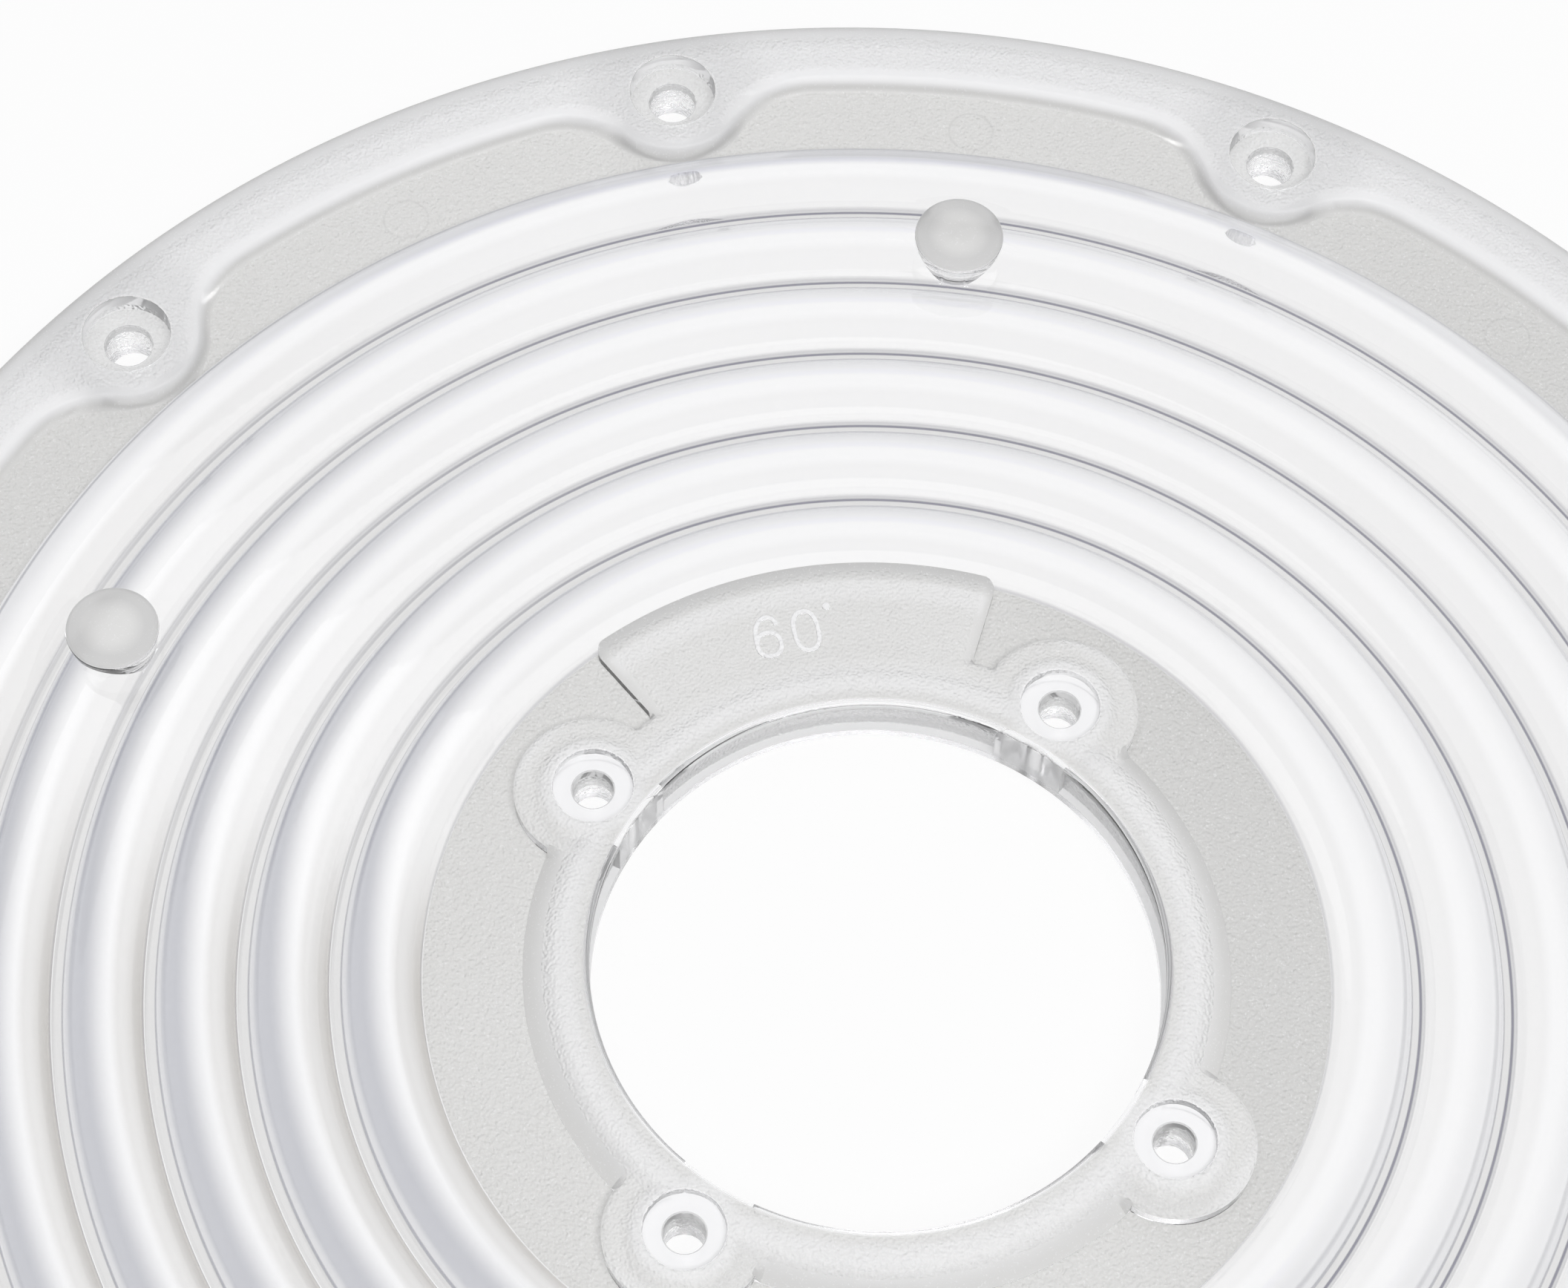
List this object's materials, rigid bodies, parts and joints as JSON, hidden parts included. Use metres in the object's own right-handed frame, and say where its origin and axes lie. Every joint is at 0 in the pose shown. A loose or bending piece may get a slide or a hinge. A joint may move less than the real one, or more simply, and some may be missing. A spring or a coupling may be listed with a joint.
{
  "type": "ring lens plate",
  "caption": "Round clear lens plate for a high bay lamp: concentric ring lenses between a scalloped screw flange and a bored hub with screw bosses, a raised pad and spacer knobs.",
  "frame": {"origin": "centre of the bore, at the level of the flange's seat", "axes": "+Z along the lens axis, towards the side that shines; +Y towards the raised pad on the hub"},
  "size_m": [0.26, 0.26, 0.0118],
  "materials": {
    "clear_plastic": "clear, polished on the ring lenses and finely frosted on the flats"
  },
  "bodies": {
    "root": {"lens_plate": "clear_plastic"}
  },
  "joints": []
}
